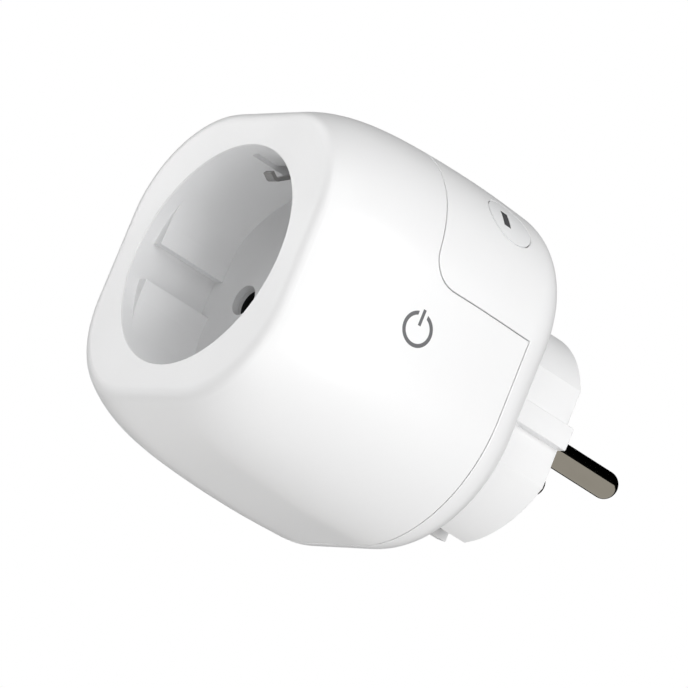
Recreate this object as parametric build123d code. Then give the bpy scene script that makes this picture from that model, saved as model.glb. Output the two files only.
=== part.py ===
from build123d import *
from math import exp
import os

# Smart plug: a Schuko socket in front, a Schuko plug behind, and a switched board between them.
# +Z is up, +Y points to the wall that the plug goes into, and the socket faces -Y.
# The origin is the centre of the plug's engagement face, so the pins stand on the plane Y = 0.
os.makedirs("parts", exist_ok=True)

# ---------------------------------------------------------------- driving dimensions, mm
# Housing: a rounded square that swells quickly behind the face and is then nearly straight.
HOUSING_LENGTH = 50.5
BOSS_DEPTH = 15.25
FACE_HALF = 24.9          # half width where the sides would meet the face
FACE_CORNER = 17.2
BODY_HALF = 30.55         # half width that the sides approach
BODY_CORNER = 22.8
SWELL_LENGTH = 7.8
FRONT_EDGE = 2.5
REAR_EDGE = 8.0
WALL = 2.2
TONGUE = 1.1              # thickness of the rear shell's inner tongue

# Seam between the shells: a ring near the back and a tab over the +X +Z corner.
SEAM_GAP = 0.2
RING_DEPTH = 43.3
TAB_DEPTH = 21.0
TAB_SIDE = 6.5
TAB_CORNER = 5.0
TONGUE_REACH = 1.6
SEAM_ROUND = 0.12

# Socket recess and its insert.
RECESS_R = 19.5
RECESS_DEPTH = 16.15
LIP = 0.35
CUP_WALL = 1.8
CUP_FLOOR = 1.85
CUP_FLANGE_R = 23.0
PIN_SPACING = 19.0
HOLE_R = 2.65
HOLE_STEP = 1.05         # depth of the fine groove round the hole
LAND_X = 17.2
LAND_START = 2.5
LAND_BLEND = 9.0
GROOVE_HALF = 3.2
NOTCH_HALF = 3.2
NOTCH_START = 3.0
NOTCH_END = 15.0
NOTCH_SLOT = 8.2         # from here back the notch goes right through
NOTCH_BACK = 20.0

# Plug side.
PIN_R = 2.4
PIN_LENGTH = 19.0
PIN_SHANK_R = 2.1
TIP_ROUND = 2.25
BOSS_R = 19.1
BOSS_FLAT = 17.0
RIB_HALF = 2.0
BOSS_ROUND = 0.2
EARTH_GROOVE_HALF = 2.6
EARTH_GROOVE_Z = 16.4
ENGAGEMENT_WALL = 3.0

# Earth parts.
STRIP = 0.8
STRIP_HALF = 2.2
LEG_Z = 26.2
LEG_END = 44.5
CLIP_ROOT = 18.7
CLIP_HALF = 1.05
CLIP_STRIP = 0.65
CLIP_Z = 22.3

# Boards, screws and pillars.
BOARD_DEPTH = 38.0
BOARD = 1.6
BOARD_HALF = 25.0
POST_XZ = 19.0
POST_R = 2.8
PILLAR_Z = 9.0
PILLAR_R = 3.2
SCREW_R = 1.4
FIT = 0.05                # gap between assembled inner pieces

# Button on the corner.
BUTTON_DEPTH = 35.6
BUTTON_R = 4.65
BUTTON_GAP = 0.15
FLANGE_R = 5.6
WINDOW_SHIFT = -1.0       # along the housing, towards the face
WINDOW_AXIAL = 1.5
WINDOW_ACROSS = 3.55
SWITCH_SHIFT = 1.5
LED_SHIFT = -1.7
BUTTON_BOARD_W = 24.0     # distance of the button board from the housing axis
STEM_END = 28.0

# Relay.
RELAY_X = 14.5
RELAY_Z = (-25.3, -12.6)
RELAY_DEPTH = 22.3
RELAY_WALL = 0.8

FRONT_Y = -(HOUSING_LENGTH + BOSS_DEPTH)
DIAGONAL = Vector(1, 0, 1).normalized()


# ---------------------------------------------------------------- small helpers
def at(depth):
    """Y of a plane that lies a given depth behind the face."""
    return FRONT_Y + depth


def section(depth):
    """Drawing plane across the housing, with X to the right and Z up."""
    return Plane(origin=(0, at(depth), 0), x_dir=(1, 0, 0), z_dir=(0, -1, 0))


def along_y(sketch, start, end):
    """Solid of a sketch drawn in X and Z, from one depth to another."""
    return extrude(section(end) * sketch, amount=end - start)


def rod(radius, start, end, x=0.0, z=0.0):
    return along_y(Pos(x, z) * Circle(radius), start, end)


def block(x0, x1, z0, z1, start, end):
    return Pos((x0 + x1) / 2, at((start + end) / 2), (z0 + z1) / 2) * Box(x1 - x0, end - start, z1 - z0)


def save(name, shape):
    export_step(shape, f"parts/{name}.step")


# ---------------------------------------------------------------- housing form
def half_width(depth):
    return BODY_HALF - (BODY_HALF - FACE_HALF) * exp(-depth / SWELL_LENGTH)


def corner_radius(depth):
    return BODY_CORNER - (BODY_CORNER - FACE_CORNER) * exp(-depth / SWELL_LENGTH)


def housing_form(inset):
    """The housing's outer form moved inwards by an inset on every side."""
    start = inset
    end = HOUSING_LENGTH - inset
    stations = [start] + [d for d in (4.0, 8.0, 13.0, 20.0, 32.0) if d > start + 1] + [end]
    outlines = []
    for depth in stations:
        width = 2 * (half_width(depth) - inset)
        outlines.append(section(depth) * RectangleRounded(width, width, corner_radius(depth) - inset))
    form = loft(outlines)
    rear = form.faces().sort_by(Axis.Y)[-1].edges()
    form = fillet(rear, REAR_EDGE - inset)
    if inset < FRONT_EDGE - 1:
        front = form.faces().sort_by(Axis.Y)[0].edges()
        form = fillet(front, FRONT_EDGE - inset)
    return form


def tab_profile(grow):
    """Tab seen square to one side: depth across, height above the housing's middle up."""
    near = TAB_DEPTH - grow
    side = TAB_SIDE - grow
    far = HOUSING_LENGTH + 5
    top = BODY_HALF + 10
    outline = Polyline((near, side), (far, side), (far, top), (near, top), close=True)
    face = make_face(outline)
    corner = face.vertices().sort_by(lambda v: v.X + v.Y)[0]
    return fillet(corner, TAB_CORNER + grow)


def rear_region(grow):
    """Everything that belongs to the rear shell: the ring at the back and the corner tab."""
    size = 4 * BODY_HALF
    ring = Pos(0, at(RING_DEPTH - grow) + size / 2, 0) * Box(size, size, size)
    side_plane = Plane(origin=(0, FRONT_Y, 0), x_dir=(0, 1, 0), z_dir=(1, 0, 0))
    top_plane = Plane(origin=(0, FRONT_Y, 0), x_dir=(0, 1, 0), z_dir=(0, 0, -1))
    over_side = extrude(side_plane * tab_profile(grow), amount=size / 2)
    over_top = extrude(top_plane * tab_profile(grow), amount=-size / 2)
    return ring + (over_side & over_top)


outer = housing_form(0)
cavity = housing_form(WALL)
tongue_face = housing_form(WALL - TONGUE)
tongue_clear = housing_form(WALL - TONGUE - 0.1)


# ---------------------------------------------------------------- diagonal frame of the button
def button_plane(distance, shift=0.0):
    """Plane square to the corner diagonal; its local X runs back along the housing."""
    origin = DIAGONAL * distance + Vector(0, at(BUTTON_DEPTH + shift), 0)
    return Plane(origin=origin, x_dir=(0, 1, 0), z_dir=DIAGONAL)


def button_rod(radius, low, high, shift=0.0):
    return extrude(button_plane(low, shift) * Circle(radius), amount=high - low)


def button_block(axial, across, low, high, shift=0.0):
    return extrude(button_plane(low, shift) * Rectangle(axial, across), amount=high - low)


# ---------------------------------------------------------------- outer edges
def outer_edges(shell):
    """Edges where the outer surface stops, such as those along the seam."""
    skin = outer.shell()
    found = []
    for edge in shell.edges():
        if max(skin.distance_to(Vertex(*(edge @ t))) for t in (0.1, 0.5, 0.9)) > 0.02:
            continue
        normals = [face.normal_at(edge @ 0.5) for face in shell.faces() if edge in face.edges()]
        if len(normals) == 2 and abs(normals[0].dot(normals[1])) < 0.6:
            found.append(edge)
    return found


# ---------------------------------------------------------------- front shell
def front_shell():
    shell = outer - cavity
    shell -= rod(RECESS_R, -1, WALL + 1)
    shell -= rod(CUP_FLANGE_R + FIT, LIP, WALL + 1)
    post_limit = housing_form(WALL / 2)
    for x, z in ((-1, 1), (-1, -1), (1, -1)):
        post = rod(POST_R, WALL, BOARD_DEPTH, x * POST_XZ, z * POST_XZ)
        shell += post & post_limit
    for x, z in ((-1, 1), (-1, -1), (1, -1)):
        shell -= rod(SCREW_R, BOARD_DEPTH - 9, BOARD_DEPTH + 1, x * POST_XZ, z * POST_XZ)
    shell -= rear_region(SEAM_GAP)
    shell -= tongue_clear & rear_region(TONGUE_REACH + SEAM_GAP)
    return fillet(outer_edges(shell), SEAM_ROUND)


# ---------------------------------------------------------------- rear shell
def boss_outline(grow=0.0):
    """Plug boss: a circle with two flats, and a rib along the middle of each flat."""
    circle = Circle(BOSS_R + grow)
    body = circle & Rectangle(2 * (BOSS_FLAT + grow), 4 * BOSS_R)
    return body + (circle & Rectangle(4 * BOSS_R, 2 * (RIB_HALF + grow)))


def plug_boss():
    total = HOUSING_LENGTH + BOSS_DEPTH
    boss = along_y(boss_outline(), HOUSING_LENGTH - WALL, total)
    ribs = [edge for edge in boss.edges().filter_by(Axis.Y) if abs(edge.center().Z) < RIB_HALF + 0.1]
    boss = fillet([edge for edge in ribs if abs(edge.center().X) > BOSS_FLAT + 1], BOSS_ROUND)
    return fillet(boss.faces().sort_by(Axis.Y)[-1].edges(), BOSS_ROUND)


def rear_shell():
    total = HOUSING_LENGTH + BOSS_DEPTH
    skin = (outer - tongue_face) & rear_region(0)
    skin -= button_rod(BUTTON_R + BUTTON_GAP, 20, 40)
    skin = fillet(outer_edges(skin), SEAM_ROUND)
    tongue = (tongue_face - cavity) & rear_region(TONGUE_REACH)
    shell = skin + tongue
    shell += plug_boss()
    hollow = Circle(BOSS_R - 3.6) & Rectangle(2 * (BOSS_FLAT - WALL), 4 * BOSS_R)
    shell -= along_y(hollow, HOUSING_LENGTH - WALL - 1, total - ENGAGEMENT_WALL)
    wall_depth = total - ENGAGEMENT_WALL
    for side in (-1, 1):
        shell += rod(PILLAR_R, 46.5, wall_depth, 0, side * PILLAR_Z)
        shell += rod(PIN_R + 1.8, 56.0, wall_depth, side * PIN_SPACING / 2)
        shell -= rod(SCREW_R + 0.3, 40, total + 1, 0, side * PILLAR_Z)
        shell -= rod(PILLAR_R, total - 2.2, total + 1, 0, side * PILLAR_Z)
        shell -= rod(PIN_SHANK_R + FIT, 50, total + 1, side * PIN_SPACING / 2)
        lead_in = section(total) * Pos(side * PIN_SPACING / 2, 0) * Circle(PIN_SHANK_R + 0.4)
        shell -= extrude(lead_in, amount=0.35, taper=45)
        groove = sorted((side * EARTH_GROOVE_Z, side * (BOSS_R + 2.2)))
        shell -= block(-EARTH_GROOVE_HALF, EARTH_GROOVE_HALF, *groove, 40, total + 1)
    for side in (-1, 1):
        rib = button_block(5.6, 1.0, BUTTON_BOARD_W - 0.2, 33.0, -1.4)
        rib = Pos(DIAGONAL.cross(Vector(0, 1, 0)) * (side * 6.9)) * rib
        shell += rib & (housing_form(WALL / 2) & rear_region(0))
    shell -= button_rod(BUTTON_R + BUTTON_GAP, 20, 40)
    shell -= button_rod(FLANGE_R + 0.2, 20, 30.9)
    return shell


# ---------------------------------------------------------------- socket insert
def socket_cup():
    floor = RECESS_DEPTH + CUP_FLOOR
    outside_r = RECESS_R + CUP_WALL
    cup = rod(outside_r, LIP, floor) + rod(CUP_FLANGE_R, LIP, WALL)
    cup -= rod(RECESS_R, 0, RECESS_DEPTH)
    flats = Circle(RECESS_R) & Rectangle(2 * LAND_X, 4 * RECESS_R)
    flats = fillet(flats.vertices(), LAND_BLEND)
    lands = Circle(RECESS_R + 0.2) - flats - Rectangle(4 * RECESS_R, 2 * GROOVE_HALF)
    lands -= Rectangle(2 * LAND_X - 8, 4 * RECESS_R)
    cup += along_y(lands, LAND_START, RECESS_DEPTH + 0.5)
    mouth = [edge for edge in cup.edges() if abs(edge.center().Y - at(LIP)) < 0.01 and edge.radius < 20]
    cup = chamfer(mouth, 0.08)
    for side in (-1, 1):
        notch = sorted((side * (RECESS_R - 3), side * NOTCH_BACK))
        cup -= block(-NOTCH_HALF, NOTCH_HALF, *notch, NOTCH_START, NOTCH_END)
        slot = sorted((side * (RECESS_R - 3), side * (outside_r + 1)))
        cup -= block(-NOTCH_HALF, NOTCH_HALF, *slot, NOTCH_SLOT, NOTCH_END)
        hole_x = side * PIN_SPACING / 2
        cup -= rod(HOLE_R - 0.05, 10, floor + 1, hole_x)
        cup -= rod(HOLE_R, 10, RECESS_DEPTH + HOLE_STEP, hole_x)
        cup -= rod(HOLE_R + 0.12, RECESS_DEPTH + HOLE_STEP, RECESS_DEPTH + HOLE_STEP + 0.12, hole_x)
        cup += rod(PILLAR_R, floor - 0.5, 46.4, 0, side * PILLAR_Z)
        cup -= rod(SCREW_R + FIT, 33, 47, 0, side * PILLAR_Z)
    return cup


# ---------------------------------------------------------------- pins and contacts
def plug_pin(side):
    """Solid pin with a domed tip, standing on the boss; its thinner shank is pressed through the boss."""
    total = HOUSING_LENGTH + BOSS_DEPTH
    x = side * PIN_SPACING / 2
    pin = rod(PIN_R, total, total + PIN_LENGTH, x)
    tip = pin.faces().sort_by(Axis.Y)[-1].edges()
    pin = fillet(tip, TIP_ROUND)
    pin += rod(PIN_SHANK_R, 52.0, total, x)
    return pin + rod(1.6, 44.0, 52.0, x)


def pin_strap(side):
    """Copper strap from the pin's shank forward to the back of the board."""
    x = side * PIN_SPACING / 2
    end = sorted((x - side * 2.5, side * 15.5))
    foot = sorted((side * 14.7, side * 15.5))
    strap = block(*end, -2.5, 2.5, 43.2, 43.95)
    return strap + block(*foot, -2.5, 2.5, BOARD_DEPTH + BOARD + FIT, 43.95)


def socket_contact(side):
    """Folded spring contact: two leaves, a web behind them and a tail through the board."""
    x = side * PIN_SPACING / 2
    leaf_gap = 2.35
    contact = block(x - 3.2, x + 3.2, -leaf_gap - STRIP, leaf_gap + STRIP, 19.3, 36.4)
    contact -= block(x - 4, x + 4, -leaf_gap, leaf_gap, 19, 36.4 - STRIP)
    for start in (21.5, 30.0):
        for height in (-1, 1):
            slit = sorted((height * leaf_gap, height * (leaf_gap + 2)))
            contact -= block(x - 0.4, x + 0.4, *slit, start, start + 5.5)
    return contact + block(x - 1.6, x + 1.6, -STRIP / 2, STRIP / 2, 36, 41.0)


def contact_carrier(side):
    """Black moulded sleeve round one contact, with a mouth behind the hole in the cup's floor."""
    x = side * PIN_SPACING / 2
    mouth = RECESS_DEPTH + CUP_FLOOR + FIT
    carrier = block(x - 4.2, x + 4.2, -4.2, 4.2, mouth, BOARD_DEPTH - FIT)
    carrier -= block(x - 3.3, x + 3.3, -3.25, 3.25, mouth + 1.1, BOARD_DEPTH)
    return carrier - rod(HOLE_R, mouth - 1, mouth + 2, x)


# ---------------------------------------------------------------- earth parts
def earth_frame():
    """U shaped bracket: a bridge behind the cup and two legs that run to the back."""
    frame = block(-5, 5, -22, 22, 19.2, 19.2 + STRIP)
    frame += block(-2.5, 2.5, -LEG_Z - STRIP, LEG_Z + STRIP, 19.2, 19.2 + STRIP)
    for side in (-1, 1):
        leg = sorted((side * LEG_Z, side * (LEG_Z + STRIP)))
        frame += block(-2.5, 2.5, *leg, 19.2, LEG_END)
        frame -= rod(PILLAR_R + 0.15, 19, 21, 0, side * PILLAR_Z)
    return frame


def earth_clip(side):
    """Bent spring strip that reaches through the notch and curls away at its tip."""
    plane = Plane(origin=(0, FRONT_Y, 0), x_dir=(0, 1, 0), z_dir=(1, 0, 0))
    path = FilletPolyline(
        (CLIP_ROOT, CLIP_Z), (14.6, CLIP_Z), (6.35, 16.45), (5.1, 17.25),
        radius=(2.0, 0.6))
    strip = extrude(plane * trace(path, line_width=CLIP_STRIP), amount=CLIP_HALF, both=True)
    return strip if side > 0 else mirror(strip, about=Plane.XY)


def side_contact(side):
    """Strip in the boss's earth groove, with a foot against the frame's leg."""
    foot = sorted((side * (EARTH_GROOVE_Z + 0.3), side * (LEG_Z + STRIP)))
    strip = sorted((side * (EARTH_GROOVE_Z + 0.1), side * (EARTH_GROOVE_Z + 1.1)))
    step = sorted((side * (EARTH_GROOVE_Z + 0.1), side * (BOSS_R + 1.0)))
    contact = block(-STRIP_HALF, STRIP_HALF, *foot, LEG_END + FIT, LEG_END + FIT + STRIP)
    contact += block(-STRIP_HALF, STRIP_HALF, *strip, LEG_END + FIT, HOUSING_LENGTH + BOSS_DEPTH - 2)
    return contact + block(-STRIP_HALF, STRIP_HALF, *step, HOUSING_LENGTH + 0.1, HOUSING_LENGTH + 3.6)


# ---------------------------------------------------------------- boards and what they carry
def main_board():
    square = RectangleRounded(2 * BOARD_HALF, 2 * BOARD_HALF, 14)
    board = along_y(square, BOARD_DEPTH + FIT, BOARD_DEPTH + BOARD)
    board -= block(12.5, 30, 12.5, 30, 37, 41)
    for x, z in ((-1, 1), (-1, -1), (1, -1)):
        board -= rod(SCREW_R + 0.2, 37, 41, x * POST_XZ, z * POST_XZ)
    for side in (-1, 1):
        board -= rod(PILLAR_R + 0.3, 37, 41, 0, side * PILLAR_Z)
        x = side * PIN_SPACING / 2
        board -= block(x - 1.9, x + 1.9, -0.7, 0.7, 37, 41)
    return board


def radio_board():
    board = block(-12, 8, 22.5, 23.3, 21.5, BOARD_DEPTH - FIT)
    return board


def radio_shield():
    return block(-10.5, 3.5, 20.4, 22.45, 25.0, 36.5)


def film_capacitor():
    case = block(-25.4, -18.6, -9, 9, 26, BOARD_DEPTH - FIT)
    front = case.faces().sort_by(Axis.Y)[0].edges()
    return fillet(front, 0.8)


def supply_capacitors():
    cans = []
    for z in (-3.0, -11.4):
        can = rod(4.0, 26.5, BOARD_DEPTH - FIT, 21.0, z)
        can = fillet(can.faces().sort_by(Axis.Y)[0].edges(), 0.6)
        can -= rod(4.4, 36.0, 36.5, 21.0, z) - rod(3.7, 35.9, 36.6, 21.0, z)
        cans.append(can)
    return Compound(children=cans)


def transformer():
    core = block(-12.8, -4.4, 6.4, 17, 28, 36.4)
    core -= block(-11.0, -6.2, 5, 18, 29.8, 34.6)
    winding = block(-11.1, -6.1, 5.4, 18, 29.7, 34.7)
    foot = block(-12.8, -4.4, 6.4, 17, 36.3, BOARD_DEPTH - FIT)
    return core + winding + foot


def varistor():
    plane = Plane(origin=(4.4, at(32.6), 11), x_dir=(0, 1, 0), z_dir=(1, 0, 0))
    disc = extrude(plane * Circle(4.6), amount=3.4)
    disc = fillet(disc.edges(), 0.9)
    for z in (8.7, 13.3):
        disc += block(5.7, 6.5, z - 0.4, z + 0.4, 35, BOARD_DEPTH - FIT)
    return disc


def fuse():
    body = Pos(-16.0, at(34.6), 10.0) * Cylinder(2.3, 9.0)
    body = fillet(body.edges(), 0.5)
    leads = [block(-16.4, -15.6, z - 0.4, z + 0.4, 34.6, BOARD_DEPTH - FIT) for z in (5.2, 14.8)]
    arms = Pos(-16.0, at(34.6), 10.0) * Box(0.8, 0.8, 10.4)
    return body + arms + leads[0] + leads[1]


def metering_chip():
    back = BOARD_DEPTH + BOARD
    chip = block(-3, 3, -2.5, 2.5, back + FIT, back + 1.6)
    for x in (-2.25, -0.75, 0.75, 2.25):
        chip += block(x - 0.2, x + 0.2, -3.6, 3.6, back + FIT, back + 0.4)
    return chip


# ---------------------------------------------------------------- relay
def relay_base():
    return block(-RELAY_X, RELAY_X, *RELAY_Z, 36.6, BOARD_DEPTH - FIT)


def relay_case():
    case = block(-RELAY_X, RELAY_X, *RELAY_Z, RELAY_DEPTH, 36.55)
    case = fillet(case.faces().sort_by(Axis.Y)[0].edges(), 0.7)
    inside = (RELAY_Z[0] + RELAY_WALL, RELAY_Z[1] - RELAY_WALL)
    return case - block(RELAY_WALL - RELAY_X, RELAY_X - RELAY_WALL, *inside, RELAY_DEPTH + RELAY_WALL, 37)


RELAY_MID = (RELAY_Z[0] + RELAY_Z[1]) / 2
CORE_DEPTH = 30.4
CORE_END = 3.0
YOKE_DEPTH = 35.2


def relay_coil():
    """Bobbin with its winding, lying along X."""
    coil = Pos(-4.5, at(CORE_DEPTH), RELAY_MID) * Rot(0, 90, 0) * Cylinder(4.1, 12.4)
    for x in (-11.1, 2.1):
        coil += Pos(x, at(CORE_DEPTH), RELAY_MID) * Box(0.9, 8.8, 8.8)
    return coil - Pos(-4.5, at(CORE_DEPTH), RELAY_MID) * Rot(0, 90, 0) * Cylinder(1.9, 20)


def relay_core():
    """Iron core and the yoke that brings the field round to the armature's edge."""
    low = RELAY_MID - 4
    high = RELAY_MID + 4
    core = Rot(0, 90, 0) * Cylinder(1.85, CORE_END + 12.4)
    core = Pos((CORE_END - 12.4) / 2, at(CORE_DEPTH), RELAY_MID) * core
    core += block(-13.2, -12.2, low, high, CORE_DEPTH - 3, YOKE_DEPTH + 1.1)
    return core + block(-13.2, CORE_END - 0.1, low, high, YOKE_DEPTH, YOKE_DEPTH + 1.1)


def relay_armature():
    plate = block(CORE_END + 0.5, CORE_END + 1.4, RELAY_MID - 3.8, RELAY_MID + 3.8, 25.4, YOKE_DEPTH + 0.9)
    return plate + block(CORE_END + 1.4, CORE_END + 3.4, RELAY_MID - 1.5, RELAY_MID + 1.5, 25.4, 26.6)


# ---------------------------------------------------------------- button
def button_cap():
    """Round cap whose top follows the housing's corner, on a flange and a stem."""
    cap = button_rod(BUTTON_R, 28.6, 40) & outer
    cap += button_rod(FLANGE_R, 28.6, 29.5)
    cap += button_rod(1.7, STEM_END + 0.02, 29.0, SWITCH_SHIFT)
    return cap - button_block(WINDOW_AXIAL, WINDOW_ACROSS, 20, 40, WINDOW_SHIFT)


def light_pipe():
    gap = 0.04
    pipe = button_block(WINDOW_AXIAL - gap, WINDOW_ACROSS - gap, STEM_END + 0.2, 40, WINDOW_SHIFT)
    return pipe & outer


def button_board():
    return button_block(11.6, 12.0, BUTTON_BOARD_W, BUTTON_BOARD_W + 1.0)


def tact_switch():
    low = BUTTON_BOARD_W + 1.0 + FIT
    body = button_block(4.6, 4.6, low, 26.9, SWITCH_SHIFT)
    body -= button_rod(1.5, low + 0.4, 28, SWITCH_SHIFT)
    for side in (-1, 1):
        leg = button_block(0.8, 1.2, low, low + 0.3, SWITCH_SHIFT)
        body += Pos(DIAGONAL.cross(Vector(0, 1, 0)) * (side * 2.7)) * leg
    return body


def switch_plunger():
    return button_rod(1.4, 26.1, STEM_END, SWITCH_SHIFT)


def status_led():
    low = BUTTON_BOARD_W + 1.0 + FIT
    led = button_block(0.9, 1.7, low, low + 0.35, LED_SHIFT)
    return led + button_block(0.9, 1.1, low + 0.3, low + 0.7, LED_SHIFT)


# ---------------------------------------------------------------- screws
def screw(head_depth, length, x, z, radius, head_r):
    """Pan head screw that drives towards the face, with a cross slot."""
    shank = rod(radius, head_depth - length, head_depth + 0.2, x, z)
    head = rod(head_r, head_depth, head_depth + 1.7, x, z)
    head = fillet(head.faces().sort_by(Axis.Y)[-1].edges(), 0.6)
    slot = block(x - 1.5, x + 1.5, z - 0.3, z + 0.3, head_depth + 0.8, head_depth + 2)
    slot += block(x - 0.3, x + 0.3, z - 1.5, z + 1.5, head_depth + 0.8, head_depth + 2)
    return shank + head - slot


def board_screws():
    spots = [(x * POST_XZ, z * POST_XZ) for x, z in ((-1, 1), (-1, -1), (1, -1))]
    head_depth = BOARD_DEPTH + BOARD + FIT
    return Compound(children=[screw(head_depth, 8, x, z, SCREW_R - FIT, 2.4) for x, z in spots])


def housing_screws():
    head_depth = HOUSING_LENGTH + BOSS_DEPTH - 2.15
    return Compound(children=[screw(head_depth, 28, 0, side * PILLAR_Z, SCREW_R, 2.9) for side in (-1, 1)])


# ---------------------------------------------------------------- all the pieces
pieces = {
    "front_shell": front_shell(),
    "rear_shell": rear_shell(),
    "socket_cup": socket_cup(),
    "live_pin": plug_pin(-1),
    "neutral_pin": plug_pin(1),
    "live_strap": pin_strap(-1),
    "neutral_strap": pin_strap(1),
    "live_carrier": contact_carrier(-1),
    "neutral_carrier": contact_carrier(1),
    "live_contact": socket_contact(-1),
    "neutral_contact": socket_contact(1),
    "earth_frame": earth_frame(),
    "earth_clip_top": earth_clip(1),
    "earth_clip_bottom": earth_clip(-1),
    "side_contact_top": side_contact(1),
    "side_contact_bottom": side_contact(-1),
    "main_board": main_board(),
    "radio_board": radio_board(),
    "radio_shield": radio_shield(),
    "film_capacitor": film_capacitor(),
    "supply_capacitors": supply_capacitors(),
    "transformer": transformer(),
    "varistor": varistor(),
    "fuse": fuse(),
    "metering_chip": metering_chip(),
    "relay_base": relay_base(),
    "relay_case": relay_case(),
    "relay_coil": relay_coil(),
    "relay_core": relay_core(),
    "relay_armature": relay_armature(),
    "button_cap": button_cap(),
    "light_pipe": light_pipe(),
    "button_board": button_board(),
    "tact_switch": tact_switch(),
    "switch_plunger": switch_plunger(),
    "status_led": status_led(),
    "board_screws": board_screws(),
    "housing_screws": housing_screws(),
}

for name, shape in pieces.items():
    save(name, shape)
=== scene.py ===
import bpy
from math import radians
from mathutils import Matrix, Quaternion, Vector


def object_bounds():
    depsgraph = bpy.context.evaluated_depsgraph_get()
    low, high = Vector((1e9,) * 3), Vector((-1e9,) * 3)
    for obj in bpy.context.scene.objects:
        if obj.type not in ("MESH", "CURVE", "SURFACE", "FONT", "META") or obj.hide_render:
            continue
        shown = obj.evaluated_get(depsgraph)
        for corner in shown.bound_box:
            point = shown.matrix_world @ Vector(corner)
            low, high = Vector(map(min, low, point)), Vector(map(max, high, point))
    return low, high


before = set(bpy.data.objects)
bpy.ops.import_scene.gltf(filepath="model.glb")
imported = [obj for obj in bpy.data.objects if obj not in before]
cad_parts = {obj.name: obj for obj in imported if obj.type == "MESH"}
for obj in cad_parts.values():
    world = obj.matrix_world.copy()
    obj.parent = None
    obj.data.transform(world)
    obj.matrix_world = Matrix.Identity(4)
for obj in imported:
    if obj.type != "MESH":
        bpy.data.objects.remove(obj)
cad_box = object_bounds()


# ---------------------------------------------------------------- camera
# A long lens about a metre away, a little below the plug and rolled, so that the socket face,
# the side with the seam and the plug's boss are seen together.
camera_data = bpy.data.cameras.new("camera")
camera_data.lens = 332.0
camera_data.sensor_width = 36.0
camera_data.clip_start = 0.05
camera_data.clip_end = 20.0
camera = bpy.data.objects.new("camera", camera_data)
bpy.context.scene.collection.objects.link(camera)
camera.location = (0.8115, -0.58395, -0.2734)
look_at = Vector((0.01324, -0.0438, -0.00481))
camera_roll = radians(22.09)
back = (camera.location - look_at).normalized()
camera.rotation_mode = "QUATERNION"
camera.rotation_quaternion = Quaternion(back, camera_roll) @ (-back).to_track_quat("-Z", "Y")
bpy.context.scene.camera = camera


# ---------------------------------------------------------------- studio
# A pale floor well below the plug, a white surround, and soft boxes that each face the plug.
# The surround is white only where it is looked at; bright metal meets a dark room with a grey floor.
bpy.context.scene.view_settings.view_transform = "Standard"
middle = (Vector(cad_box[0]) + Vector(cad_box[1])) / 2
room_up = (-0.34, 0.0, 0.94)
room_floor = (0.40, 0.385, 0.35)
surround = bpy.data.worlds.new("surround")
surround.use_nodes = True
bpy.context.scene.world = surround
sky = surround.node_tree
sky.nodes.clear()
seen = sky.nodes.new("ShaderNodeBackground")
seen.inputs["Color"].default_value = (1, 1, 1, 1)
room = sky.nodes.new("ShaderNodeBackground")
heading = sky.nodes.new("ShaderNodeTexCoord")
height = sky.nodes.new("ShaderNodeVectorMath")
height.operation = "DOT_PRODUCT"
height.inputs[1].default_value = room_up
horizon = sky.nodes.new("ShaderNodeValToRGB")
horizon.color_ramp.elements[0].position = 0.47
horizon.color_ramp.elements[0].color = (*room_floor, 1)
horizon.color_ramp.elements[1].position = 0.50
horizon.color_ramp.elements[1].color = (0.0, 0.0, 0.0, 1)
half = sky.nodes.new("ShaderNodeMath")
half.operation = "MULTIPLY_ADD"
half.inputs[1].default_value = 0.5
half.inputs[2].default_value = 0.5
dark = sky.nodes.new("ShaderNodeBackground")
dark.inputs["Strength"].default_value = 0.0
path = sky.nodes.new("ShaderNodeLightPath")
bounced = sky.nodes.new("ShaderNodeMixShader")
either = sky.nodes.new("ShaderNodeMixShader")
world_out = sky.nodes.new("ShaderNodeOutputWorld")
sky.links.new(heading.outputs["Generated"], height.inputs[0])
sky.links.new(height.outputs["Value"], half.inputs[0])
sky.links.new(half.outputs[0], horizon.inputs["Fac"])
sky.links.new(horizon.outputs["Color"], room.inputs["Color"])
sky.links.new(path.outputs["Is Glossy Ray"], bounced.inputs[0])
sky.links.new(dark.outputs[0], bounced.inputs[1])
sky.links.new(room.outputs[0], bounced.inputs[2])
sky.links.new(path.outputs["Is Camera Ray"], either.inputs[0])
sky.links.new(bounced.outputs[0], either.inputs[1])
sky.links.new(seen.outputs[0], either.inputs[2])
sky.links.new(either.outputs[0], world_out.inputs["Surface"])


box_size = 0.6
box_distance = 0.8


def soft_box(name, direction, power):
    """A square soft box that faces the middle of the plug."""
    lamp = bpy.data.lights.new(name, "AREA")
    lamp.shape = "SQUARE"
    lamp.size = box_size
    lamp.energy = power
    box = bpy.data.objects.new(name, lamp)
    bpy.context.scene.collection.objects.link(box)
    towards = Vector(direction).normalized()
    box.location = middle + towards * box_distance
    box.rotation_mode = "QUATERNION"
    box.rotation_quaternion = (-towards).to_track_quat("-Z", "Y")
    return box


soft_box("box_side", (1, 0, 0), 5.3)
soft_box("box_front_right_high", (1, -1, 1), 2.3)
soft_box("box_front_right_low", (1, -1, -1), 2.0)
soft_box("box_front_left", (-1, -1, 0), 1.95)
soft_box("box_front_left_high", (-1, -1, 1), 2.8)
soft_box("box_left_low", (-1, 0, -1), 2.0).visible_glossy = False
soft_box("box_below", (0, 0, -1), 2.2).visible_glossy = False
soft_box("box_rear", (0, 1, 0), 2.05).visible_glossy = False
soft_box("box_rear_high", (0, 1, 1), 1.8).visible_glossy = False
soft_box("box_rear_low", (-1, 1, -1), 0.4).visible_glossy = False

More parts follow.
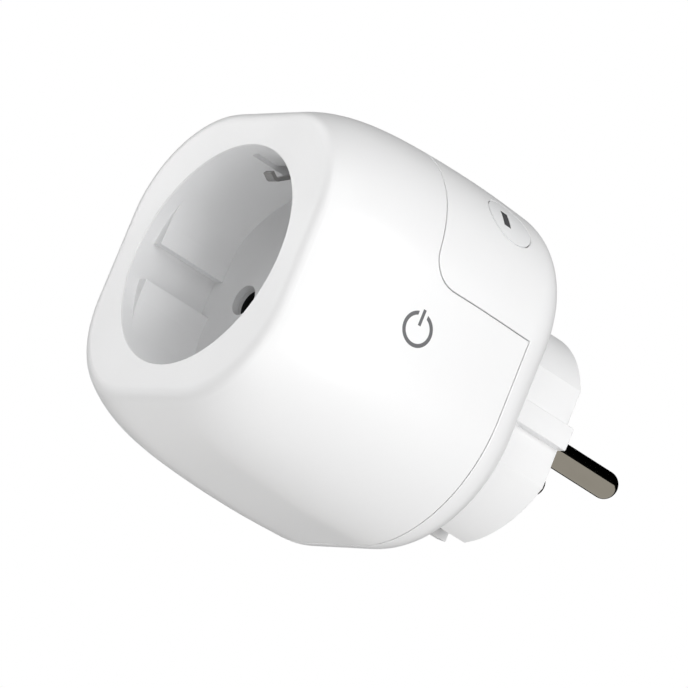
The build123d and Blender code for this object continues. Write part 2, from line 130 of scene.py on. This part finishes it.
floor_size = 6.0
floor_drop = 0.40
bpy.ops.object.select_all(action="DESELECT")
bpy.ops.mesh.primitive_plane_add(size=floor_size, location=(middle.x, middle.y, -floor_drop))
studio_floor = bpy.context.object
studio_floor.name = "studio_floor"
studio_floor.visible_diffuse = False
studio_floor.visible_glossy = False
studio_floor.visible_shadow = False
floor_paint = bpy.data.materials.new("pale_floor")
floor_paint.use_nodes = True
floor_shader = floor_paint.node_tree.nodes["Principled BSDF"]
floor_shader.inputs["Base Color"].default_value = (0.86, 0.86, 0.85, 1)
floor_shader.inputs["Roughness"].default_value = 0.7
studio_floor.data.materials.append(floor_paint)


# ---------------------------------------------------------------- housing shells
# Two moulded shells in white flame-retarding polycarbonate, front and rear, that clip together
# along the seam. The mould is finely spark-finished, and handling polishes the edges a little.
def step(tree, kind, values=None, **settings):
    """Adds one step to a finish, with its settings and its input values."""
    node = tree.nodes.new("ShaderNode" + kind)
    for name, value in settings.items():
        setattr(node, name, value)
    for name, value in (values or {}).items():
        node.inputs[name].default_value = value
    return node


def open_group(name, inputs, outputs):
    """A shared effect with named number inputs and outputs."""
    group = bpy.data.node_groups.new(name, "ShaderNodeTree")
    for label, value in inputs.items():
        socket = group.interface.new_socket(label, in_out="INPUT", socket_type="NodeSocketFloat")
        socket.default_value = value
    for label in outputs:
        group.interface.new_socket(label, in_out="OUTPUT", socket_type="NodeSocketFloat")
    entry = group.nodes.new("NodeGroupInput")
    leave = group.nodes.new("NodeGroupOutput")
    return group, entry, leave


# Fine grain from the mould, and slow unevenness from the way the plastic fills it.
mould_grain, entry, leave = open_group(
    "mould_grain", {"Grain Size": 0.0003, "Grain Depth": 1.0}, ("Height", "Mottle"))
place = step(mould_grain, "TexCoord")
pitch = step(mould_grain, "Math", {0: 1.0}, operation="DIVIDE")
grain = step(mould_grain, "TexNoise", {"Detail": 3.0, "Roughness": 0.6})
slow = step(mould_grain, "TexNoise", {"Scale": 55.0, "Detail": 3.0, "Roughness": 0.55})
tall = step(mould_grain, "Math", operation="MULTIPLY")
mould_grain.links.new(entry.outputs["Grain Size"], pitch.inputs[1])
mould_grain.links.new(place.outputs["Object"], grain.inputs["Vector"])
mould_grain.links.new(place.outputs["Object"], slow.inputs["Vector"])
mould_grain.links.new(pitch.outputs[0], grain.inputs["Scale"])
mould_grain.links.new(grain.outputs[0], tall.inputs[0])
mould_grain.links.new(entry.outputs["Grain Depth"], tall.inputs[1])
mould_grain.links.new(tall.outputs[0], leave.inputs["Height"])
mould_grain.links.new(slow.outputs[0], leave.inputs["Mottle"])

# Edges that hands and plugs rub, broken up so that they are not an even line.
rubbed_edge, entry, leave = open_group("rubbed_edge", {"Width": 0.0004, "Patchiness": 0.5}, ("Edge",))
place = step(rubbed_edge, "TexCoord")
round_off = step(rubbed_edge, "Bevel", samples=6)
true_face = step(rubbed_edge, "NewGeometry")
turn = step(rubbed_edge, "VectorMath", operation="DOT_PRODUCT")
bend = step(rubbed_edge, "MapRange", {"From Min": 0.995, "From Max": 0.80, "To Min": 0.0, "To Max": 1.0})
patches = step(rubbed_edge, "TexNoise", {"Scale": 700.0, "Detail": 4.0, "Roughness": 0.65})
broken = step(rubbed_edge, "MapRange", {"From Min": 0.35, "From Max": 0.62, "To Min": 1.0, "To Max": 1.0})
rest = step(rubbed_edge, "Math", {0: 1.0}, operation="SUBTRACT")
edge = step(rubbed_edge, "Math", operation="MULTIPLY", use_clamp=True)
rubbed_edge.links.new(entry.outputs["Width"], round_off.inputs["Radius"])
rubbed_edge.links.new(round_off.outputs[0], turn.inputs[0])
rubbed_edge.links.new(true_face.outputs["Normal"], turn.inputs[1])
rubbed_edge.links.new(turn.outputs["Value"], bend.inputs["Value"])
rubbed_edge.links.new(place.outputs["Object"], patches.inputs["Vector"])
rubbed_edge.links.new(patches.outputs[0], broken.inputs["Value"])
rubbed_edge.links.new(entry.outputs["Patchiness"], rest.inputs[1])
rubbed_edge.links.new(rest.outputs[0], broken.inputs["To Min"])
rubbed_edge.links.new(bend.outputs[0], edge.inputs[0])
rubbed_edge.links.new(broken.outputs[0], edge.inputs[1])
rubbed_edge.links.new(edge.outputs[0], leave.inputs["Edge"])


def moulded_plastic(name, colour, shade, gloss, grain_size=0.0002, grain_depth=0.3, edge_width=0.0003):
    """Moulded plastic: colour, its darker shade, rough and smooth ends of its gloss, and its grain."""
    material = bpy.data.materials.new(name)
    material.use_nodes = True
    tree = material.node_tree
    shader = tree.nodes["Principled BSDF"]
    grain = step(tree, "Group", node_tree=mould_grain)
    grain.inputs["Grain Size"].default_value = grain_size
    grain.inputs["Grain Depth"].default_value = grain_depth
    edge = step(tree, "Group", node_tree=rubbed_edge)
    edge.inputs["Width"].default_value = edge_width
    tone = step(tree, "Mix", data_type="RGBA")
    tone.inputs[6].default_value = (*colour, 1)
    tone.inputs[7].default_value = (*shade, 1)
    rough = step(tree, "MapRange", {"From Min": 0.3, "From Max": 0.7, "To Min": gloss[0], "To Max": gloss[1]})
    worn = step(tree, "MapRange", {"From Min": 0.0, "From Max": 1.0, "To Min": 1.0, "To Max": 0.75})
    product = step(tree, "Math", operation="MULTIPLY")
    bump = step(tree, "Bump", {"Strength": 0.5, "Distance": 0.00002})
    tree.links.new(grain.outputs["Mottle"], tone.inputs[0])
    tree.links.new(tone.outputs[2], shader.inputs["Base Color"])
    tree.links.new(grain.outputs["Mottle"], rough.inputs["Value"])
    tree.links.new(edge.outputs["Edge"], worn.inputs["Value"])
    tree.links.new(rough.outputs[0], product.inputs[0])
    tree.links.new(worn.outputs[0], product.inputs[1])
    tree.links.new(product.outputs[0], shader.inputs["Roughness"])
    tree.links.new(grain.outputs["Height"], bump.inputs["Height"])
    tree.links.new(bump.outputs[0], shader.inputs["Normal"])
    return material


def dress(material, *names):
    """Gives a finish to CAD pieces."""
    for name in names:
        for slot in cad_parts[name].material_slots:
            slot.material = material


shell_finish = moulded_plastic(
    "white_shell_plastic", (0.866, 0.866, 0.868), (0.84, 0.84, 0.842), (0.30, 0.38))
dress(shell_finish, "front_shell", "rear_shell")


# A band across one direction. The marks, sleeves, tapes and leads of the other pieces are painted
# through such bands.
band, entry, leave = open_group(
    "band", {"X": 0.0, "Y": 0.0, "Z": 0.0, "Low": -1.0, "High": 1.0, "Softness": 0.00004}, ("Mask",))
place = step(band, "TexCoord")
along = step(band, "CombineXYZ")
reach = step(band, "VectorMath", operation="DOT_PRODUCT")
above = step(band, "Math", operation="SUBTRACT")
below = step(band, "Math", operation="SUBTRACT")
rise = step(band, "Math", operation="DIVIDE", use_clamp=True)
fall = step(band, "Math", operation="DIVIDE", use_clamp=True)
inside = step(band, "Math", operation="MULTIPLY")
for axis in "XYZ":
    band.links.new(entry.outputs[axis], along.inputs[axis])
band.links.new(place.outputs["Object"], reach.inputs[0])
band.links.new(along.outputs[0], reach.inputs[1])
band.links.new(reach.outputs["Value"], above.inputs[0])
band.links.new(entry.outputs["Low"], above.inputs[1])
band.links.new(entry.outputs["High"], below.inputs[0])
band.links.new(reach.outputs["Value"], below.inputs[1])
for difference, slope in ((above, rise), (below, fall)):
    band.links.new(difference.outputs[0], slope.inputs[0])
    band.links.new(entry.outputs["Softness"], slope.inputs[1])
band.links.new(rise.outputs[0], inside.inputs[0])
band.links.new(fall.outputs[0], inside.inputs[1])
band.links.new(inside.outputs[0], leave.inputs["Mask"])


def banded(tree, direction, low, high):
    """Mask of the slab between two places along a direction, in metres."""
    node = step(tree, "Group", node_tree=band)
    for axis, value in zip("XYZ", direction):
        node.inputs[axis].default_value = value
    node.inputs["Low"].default_value = low
    node.inputs["High"].default_value = high
    return node.outputs["Mask"]


def joined(tree, first, second, operation="MULTIPLY"):
    """Two masks together: MULTIPLY keeps their overlap, MAXIMUM keeps both."""
    node = step(tree, "Math", operation=operation)
    tree.links.new(first, node.inputs[0])
    tree.links.new(second, node.inputs[1])
    return node.outputs[0]


def paint(material, mask, colour=None, rough=None, metal=None):
    """Lays another colour, roughness or metal over a finish wherever the mask is white."""
    tree = material.node_tree
    shader = tree.nodes["Principled BSDF"]
    if colour is not None:
        mix = step(tree, "Mix", data_type="RGBA")
        mix.inputs[7].default_value = (*colour, 1)
        tree.links.new(mask, mix.inputs[0])
        tree.links.new(shader.inputs["Base Color"].links[0].from_socket, mix.inputs[6])
        tree.links.new(mix.outputs[2], shader.inputs["Base Color"])
    for name, value in (("Roughness", rough), ("Metallic", metal)):
        if value is None:
            continue
        mix = step(tree, "Mix", data_type="FLOAT")
        mix.inputs[3].default_value = value
        mix.inputs[2].default_value = shader.inputs[name].default_value
        tree.links.new(mask, mix.inputs[0])
        if shader.inputs[name].is_linked:
            tree.links.new(shader.inputs[name].links[0].from_socket, mix.inputs[2])
        tree.links.new(mix.outputs[0], shader.inputs[name])


# A small printed on and off sign on the +X side: a grey ring, open at the top, with a bar in the gap.
sign_y = -0.0435
sign_z = -0.0020
sign_r = 0.0026
sign_line = 0.0006
sign_tree = shell_finish.node_tree
place = step(sign_tree, "TexCoord")
from_sign = step(sign_tree, "VectorMath", {1: (0.0, sign_y, sign_z)}, operation="SUBTRACT")
flat = step(sign_tree, "VectorMath", {1: (0.0, 1.0, 1.0)}, operation="MULTIPLY")
away = step(sign_tree, "VectorMath", operation="LENGTH")
off_line = step(sign_tree, "Math", {1: sign_r}, operation="SUBTRACT")
near_line = step(sign_tree, "Math", operation="ABSOLUTE")
ring = step(sign_tree, "MapRange", {"From Min": sign_line / 2 + 0.00004, "From Max": sign_line / 2})
sign_tree.links.new(place.outputs["Object"], from_sign.inputs[0])
sign_tree.links.new(from_sign.outputs[0], flat.inputs[0])
sign_tree.links.new(flat.outputs[0], away.inputs[0])
sign_tree.links.new(away.outputs["Value"], off_line.inputs[0])
sign_tree.links.new(off_line.outputs[0], near_line.inputs[0])
sign_tree.links.new(near_line.outputs[0], ring.inputs["Value"])
gap = joined(sign_tree, banded(sign_tree, (0, 1, 0), sign_y - 0.0009, sign_y + 0.0009),
             banded(sign_tree, (0, 0, 1), sign_z, sign_z + 0.005))
open_ring = step(sign_tree, "Math", operation="SUBTRACT", use_clamp=True)
sign_tree.links.new(ring.outputs[0], open_ring.inputs[0])
sign_tree.links.new(gap, open_ring.inputs[1])
bar = joined(sign_tree, banded(sign_tree, (0, 1, 0), sign_y - sign_line / 2, sign_y + sign_line / 2),
             banded(sign_tree, (0, 0, 1), sign_z + 0.0006, sign_z + 0.0034))
sign = joined(sign_tree, open_ring.outputs[0], bar, "MAXIMUM")
sign = joined(sign_tree, sign, banded(sign_tree, (1, 0, 0), 0.028, 0.040))
paint(shell_finish, sign, (0.12, 0.12, 0.125), 0.45)


# ---------------------------------------------------------------- socket insert
# A moulded cup in heat-resisting polycarbonate, let into the face. It is duller than the shells.
cup_finish = moulded_plastic(
    "white_cup_plastic", (0.82, 0.825, 0.83), (0.79, 0.79, 0.795), (0.42, 0.52))
dress(cup_finish, "socket_cup")


# ---------------------------------------------------------------- pins
# Two solid brass pins, turned and nickel plated, with domed tips.
def plated_metal(name, colour, shade, gloss, line_pitch, line_axis):
    """Metal with fine drawn or turned lines across one axis, smears, and brighter rubbed edges."""
    material = bpy.data.materials.new(name)
    material.use_nodes = True
    tree = material.node_tree
    shader = tree.nodes["Principled BSDF"]
    shader.inputs["Metallic"].default_value = 1.0
    place = step(tree, "TexCoord")
    stretch = step(tree, "Mapping")
    scale = [1.0 / line_pitch / 40] * 3
    scale[line_axis] = 1.0 / line_pitch
    stretch.inputs["Scale"].default_value = scale
    lines = step(tree, "TexNoise", {"Scale": 1.0, "Detail": 4.0, "Roughness": 0.6})
    smears = step(tree, "TexNoise", {"Scale": 300.0, "Detail": 3.0, "Roughness": 0.6})
    edge = step(tree, "Group", node_tree=rubbed_edge)
    edge.inputs["Width"].default_value = 0.0002
    tone = step(tree, "Mix", data_type="RGBA")
    tone.inputs[6].default_value = (*shade, 1)
    tone.inputs[7].default_value = (*colour, 1)
    rough = step(tree, "MapRange", {"From Min": 0.3, "From Max": 0.7, "To Min": gloss[0], "To Max": gloss[1]})
    worn = step(tree, "MapRange", {"From Min": 0.0, "From Max": 1.0, "To Min": 1.0, "To Max": 0.6})
    product = step(tree, "Math", operation="MULTIPLY")
    bump = step(tree, "Bump", {"Strength": 0.12, "Distance": 0.00001})
    tree.links.new(place.outputs["Object"], stretch.inputs["Vector"])
    tree.links.new(stretch.outputs[0], lines.inputs["Vector"])
    tree.links.new(place.outputs["Object"], smears.inputs["Vector"])
    tree.links.new(smears.outputs[0], tone.inputs[0])
    tree.links.new(tone.outputs[2], shader.inputs["Base Color"])
    tree.links.new(lines.outputs[0], rough.inputs["Value"])
    tree.links.new(edge.outputs["Edge"], worn.inputs["Value"])
    tree.links.new(rough.outputs[0], product.inputs[0])
    tree.links.new(worn.outputs[0], product.inputs[1])
    tree.links.new(product.outputs[0], shader.inputs["Roughness"])
    tree.links.new(lines.outputs[0], bump.inputs["Height"])
    tree.links.new(bump.outputs[0], shader.inputs["Normal"])
    return material


pin_finish = plated_metal(
    "pin_nickel_plate", (0.68, 0.65, 0.60), (0.62, 0.59, 0.54), (0.07, 0.13), 0.00005, 1)
dress(pin_finish, "live_pin", "neutral_pin")


# ---------------------------------------------------------------- socket contacts and straps
# Folded contacts in spring brass behind the cup, and copper straps from the pins to the board.
contact_finish = plated_metal(
    "contact_brass", (0.80, 0.62, 0.33), (0.70, 0.52, 0.27), (0.22, 0.36), 0.00006, 0)
dress(contact_finish, "live_contact", "neutral_contact")
strap_finish = plated_metal(
    "strap_copper", (0.84, 0.50, 0.36), (0.70, 0.40, 0.28), (0.25, 0.40), 0.00006, 2)
dress(strap_finish, "live_strap", "neutral_strap")


# ---------------------------------------------------------------- earth parts
# A zinc plated steel frame, nickel plated spring clips in the recess and strips in the boss grooves.
earth_finish = plated_metal(
    "earth_zinc_plate", (0.66, 0.67, 0.69), (0.55, 0.56, 0.58), (0.30, 0.45), 0.00008, 0)
dress(earth_finish, "earth_frame")
# The clips' and strips' nickel is coloured much darker than the pins' nickel: painted shade of the recess and
# the boss grooves.
shaded_clip_finish = plated_metal(
    "clip_nickel_painted_shade", (0.40, 0.395, 0.385), (0.22, 0.218, 0.21), (0.10, 0.18), 0.00005, 0)
dress(shaded_clip_finish, "earth_clip_top", "earth_clip_bottom", "side_contact_top", "side_contact_bottom")


# ---------------------------------------------------------------- contact sleeves
# Black heat-proof sleeves round the two contacts. They hold the contacts in line with the holes.
sleeve_finish = moulded_plastic(
    "black_sleeve_plastic", (0.012, 0.012, 0.013), (0.008, 0.008, 0.009), (0.45, 0.60))
dress(sleeve_finish, "live_carrier", "neutral_carrier")


# ---------------------------------------------------------------- boards
# Glass fibre boards with copper tracks under green solder resist, and tinned pads.
tin_colour = (0.72, 0.72, 0.71)
board_finish = moulded_plastic(
    "green_solder_resist", (0.02, 0.17, 0.07), (0.015, 0.12, 0.05), (0.22, 0.34), 0.0006, 0.5)
board_tree = board_finish.node_tree
place = step(board_tree, "TexCoord")
turned = step(board_tree, "Mapping", {"Rotation": (radians(90), 0.0, 0.0)})
tracks = step(board_tree, "TexBrick", {"Scale": 260.0, "Mortar Size": 0.11, "Mortar Smooth": 0.15,
                                       "Brick Width": 2.4, "Row Height": 0.55}, offset=0.37, squash=1.6)
pads = step(board_tree, "TexVoronoi", {"Scale": 330.0, "Randomness": 0.35})
pad = step(board_tree, "MapRange", {"From Min": 0.20, "From Max": 0.17})
board_tree.links.new(place.outputs["Object"], turned.inputs["Vector"])
board_tree.links.new(turned.outputs[0], tracks.inputs["Vector"])
board_tree.links.new(turned.outputs[0], pads.inputs["Vector"])
board_tree.links.new(pads.outputs["Distance"], pad.inputs["Value"])
paint(board_finish, tracks.outputs["Fac"], (0.05, 0.30, 0.12))
paint(board_finish, pad.outputs[0], (0.72, 0.72, 0.70), 0.28, 0.9)
dress(board_finish, "main_board", "radio_board", "button_board")


# ---------------------------------------------------------------- capacitors
# A yellow potted film capacitor with darker resin at its foot, and two cans in black sleeves
# with a pale stripe. The sleeves leave the scored aluminium tops bare.
film_finish = moulded_plastic(
    "yellow_capacitor_case", (0.80, 0.56, 0.06), (0.70, 0.47, 0.04), (0.35, 0.45))
paint(film_finish, banded(film_finish.node_tree, (0, 1, 0), -0.0284, -0.020), (0.55, 0.36, 0.03), 0.25)
dress(film_finish, "film_capacitor")
sleeve_top = -0.0388
can_sleeve = moulded_plastic(
    "capacitor_sleeve", (0.015, 0.016, 0.020), (0.010, 0.011, 0.014), (0.22, 0.32))
paint(can_sleeve, banded(can_sleeve.node_tree, (1, 0, 0), 0.0236, 0.030), (0.60, 0.62, 0.64), 0.35)
paint(can_sleeve, banded(can_sleeve.node_tree, (0, 1, 0), -0.060, sleeve_top), (0.78, 0.78, 0.79), 0.25, 1.0)
can_x = 0.0210
score_half = 0.00012
score_reach = 0.003
# The scores on the cans' tops are painted as dark grey lines: painted shade in the grooves.
for z in (-0.0030, -0.0114):
    for score in ((0, 0, 1), (1, 0, 0)):
        centre = z if score[2] else can_x
        can_tree = can_sleeve.node_tree
        score_shade = banded(can_tree, score, centre - score_half, centre + score_half)
        score_shade = joined(can_tree, score_shade, banded(can_tree, (0, 1, 0), -0.060, -0.0391))
        score_shade = joined(can_tree, score_shade, banded(can_tree, (0, 0, 1), z - score_reach, z + score_reach))
        paint(can_sleeve, score_shade, (0.30, 0.30, 0.31), 0.5)
dress(can_sleeve, "supply_capacitors")


# ---------------------------------------------------------------- transformer, varistor and fuse
# A ferrite core round a taped winding, a disc dipped in blue epoxy, and a fuse with colour rings.
core_finish = moulded_plastic(
    "ferrite_core", (0.045, 0.045, 0.048), (0.03, 0.03, 0.033), (0.45, 0.65), 0.0004, 0.6)
tape = joined(core_finish.node_tree, banded(core_finish.node_tree, (1, 0, 0), -0.01115, -0.00605),
              banded(core_finish.node_tree, (0, 1, 0), -0.0361, -0.0310))
paint(core_finish, tape, (0.72, 0.52, 0.10), 0.22)
dress(core_finish, "transformer")
disc_finish = moulded_plastic(
    "blue_dipped_epoxy", (0.03, 0.12, 0.42), (0.02, 0.09, 0.33), (0.20, 0.32), 0.0008, 0.8)
paint(disc_finish, banded(disc_finish.node_tree, (0, 1, 0), -0.0287, -0.020), tin_colour, 0.3, 0.9)
dress(disc_finish, "varistor")
fuse_finish = moulded_plastic(
    "fuse_ceramic", (0.74, 0.68, 0.56), (0.66, 0.60, 0.48), (0.45, 0.60))
for low, ring_colour in ((0.0070, (0.45, 0.04, 0.03)), (0.0084, (0.03, 0.03, 0.03)),
                         (0.0098, (0.45, 0.04, 0.03)), (0.0122, (0.50, 0.38, 0.08))):
    paint(fuse_finish, banded(fuse_finish.node_tree, (0, 0, 1), low, low + 0.0008), ring_colour, 0.35)
fuse_ends = joined(fuse_finish.node_tree, banded(fuse_finish.node_tree, (0, 0, 1), 0.0, 0.0055),
                   banded(fuse_finish.node_tree, (0, 0, 1), 0.0145, 0.020), "MAXIMUM")
paint(fuse_finish, fuse_ends, tin_colour, 0.3, 0.9)
dress(fuse_finish, "fuse")


# ---------------------------------------------------------------- chip and radio can
# The metering chip has tinned legs and a dimple at its first leg. The radio sits under a tinned can.
chip_finish = moulded_plastic(
    "chip_epoxy", (0.022, 0.022, 0.024), (0.015, 0.015, 0.017), (0.40, 0.55), 0.0003, 0.5)
legs = joined(chip_finish.node_tree, banded(chip_finish.node_tree, (0, 0, 1), 0.00251, 0.004),
              banded(chip_finish.node_tree, (0, 0, 1), -0.004, -0.00251), "MAXIMUM")
paint(chip_finish, legs, tin_colour, 0.28, 1.0)
dimple = joined(chip_finish.node_tree, banded(chip_finish.node_tree, (1, 0, 0), -0.0026, -0.0020),
                banded(chip_finish.node_tree, (0, 0, 1), 0.0015, 0.0021))
paint(chip_finish, dimple, (0.07, 0.07, 0.07), 0.7)
dress(chip_finish, "metering_chip")
can_finish = plated_metal(
    "tinned_can", (0.72, 0.72, 0.73), (0.60, 0.60, 0.62), (0.28, 0.42), 0.00008, 0)
# Two dark lines along the can's creases are painted shade in the folds.
for low in (-0.0100, 0.0027):
    crease_shade = banded(can_finish.node_tree, (1, 0, 0), low, low + 0.0002)
    paint(can_finish, crease_shade, (0.35, 0.35, 0.36), 0.5)
dress(can_finish, "radio_shield")


# ---------------------------------------------------------------- relay
# A blue cover over a copper coil on a pale nylon bobbin, an iron core and a small iron armature.
cover_finish = moulded_plastic(
    "blue_relay_cover", (0.05, 0.20, 0.55), (0.04, 0.16, 0.45), (0.25, 0.35))
for low, high in ((-0.0138, -0.0136), (0.0136, 0.0138)):
    paint(cover_finish, banded(cover_finish.node_tree, (1, 0, 0), low, high), (0.03, 0.12, 0.36), 0.5)
dress(cover_finish, "relay_case")
base_finish = moulded_plastic(
    "relay_base_plastic", (0.03, 0.03, 0.032), (0.02, 0.02, 0.022), (0.40, 0.55), 0.0003, 0.5)
dress(base_finish, "relay_base")
coil_finish = plated_metal(
    "enamelled_copper", (0.72, 0.30, 0.14), (0.55, 0.20, 0.08), (0.25, 0.40), 0.0002, 0)
coil_tree = coil_finish.node_tree
place = step(coil_tree, "TexCoord")
# Lighter copper stripes follow the turns of the winding: painted sheen on the round wire.
turn_sheen = step(coil_tree, "TexWave", {"Scale": 1400.0, "Distortion": 0.3}, bands_direction="X")
coil_tree.links.new(place.outputs["Object"], turn_sheen.inputs["Vector"])
paint(coil_finish, turn_sheen.outputs["Fac"], (0.88, 0.46, 0.24))
cheeks = joined(coil_tree, banded(coil_tree, (1, 0, 0), -0.0120, -0.01064),
                banded(coil_tree, (1, 0, 0), 0.00164, 0.0030), "MAXIMUM")
paint(coil_finish, cheeks, (0.78, 0.74, 0.64), 0.45, 0.0)
dress(coil_finish, "relay_coil")
iron_finish = plated_metal(
    "soft_iron", (0.50, 0.50, 0.50), (0.38, 0.38, 0.38), (0.30, 0.50), 0.0001, 2)
dress(iron_finish, "relay_core", "relay_armature")


# ---------------------------------------------------------------- button
# A white cap flush with the corner, and a smoked light pipe that shows the state of the plug.
button_finish = moulded_plastic(
    "white_button_plastic", (0.86, 0.865, 0.87), (0.84, 0.845, 0.85), (0.26, 0.33))
dress(button_finish, "button_cap")
pipe_finish = moulded_plastic(
    "smoked_light_pipe", (0.10, 0.10, 0.105), (0.08, 0.08, 0.085), (0.10, 0.18), 0.0002, 0.1)
dress(pipe_finish, "light_pipe")
led_finish = moulded_plastic(
    "led_package", (0.85, 0.84, 0.78), (0.78, 0.77, 0.70), (0.25, 0.35))
paint(led_finish, banded(led_finish.node_tree, (0, 1, 0), -0.0322, -0.0315), (0.80, 0.66, 0.12), 0.15)
dress(led_finish, "status_led")


# ---------------------------------------------------------------- switch under the button
# A sealed tactile switch with tinned feet, and the black plunger that the cap's stem presses.
switch_finish = moulded_plastic(
    "switch_body", (0.03, 0.03, 0.032), (0.02, 0.02, 0.022), (0.35, 0.50), 0.0003, 0.4)
feet = joined(switch_finish.node_tree, banded(switch_finish.node_tree, (1, 0, -1), 0.0035, 0.006),
              banded(switch_finish.node_tree, (1, 0, -1), -0.006, -0.0035), "MAXIMUM")
paint(switch_finish, feet, tin_colour, 0.3, 0.9)
dress(switch_finish, "tact_switch")
plunger_finish = moulded_plastic(
    "switch_plunger_plastic", (0.05, 0.05, 0.055), (0.035, 0.035, 0.04), (0.30, 0.42))
dress(plunger_finish, "switch_plunger")


# ---------------------------------------------------------------- screws
# Zinc plated cross head screws that hold the board and close the housing from the back.
screw_finish = plated_metal(
    "screw_zinc_plate", (0.62, 0.63, 0.65), (0.50, 0.51, 0.53), (0.25, 0.42), 0.00006, 1)
dress(screw_finish, "board_screws", "housing_screws")
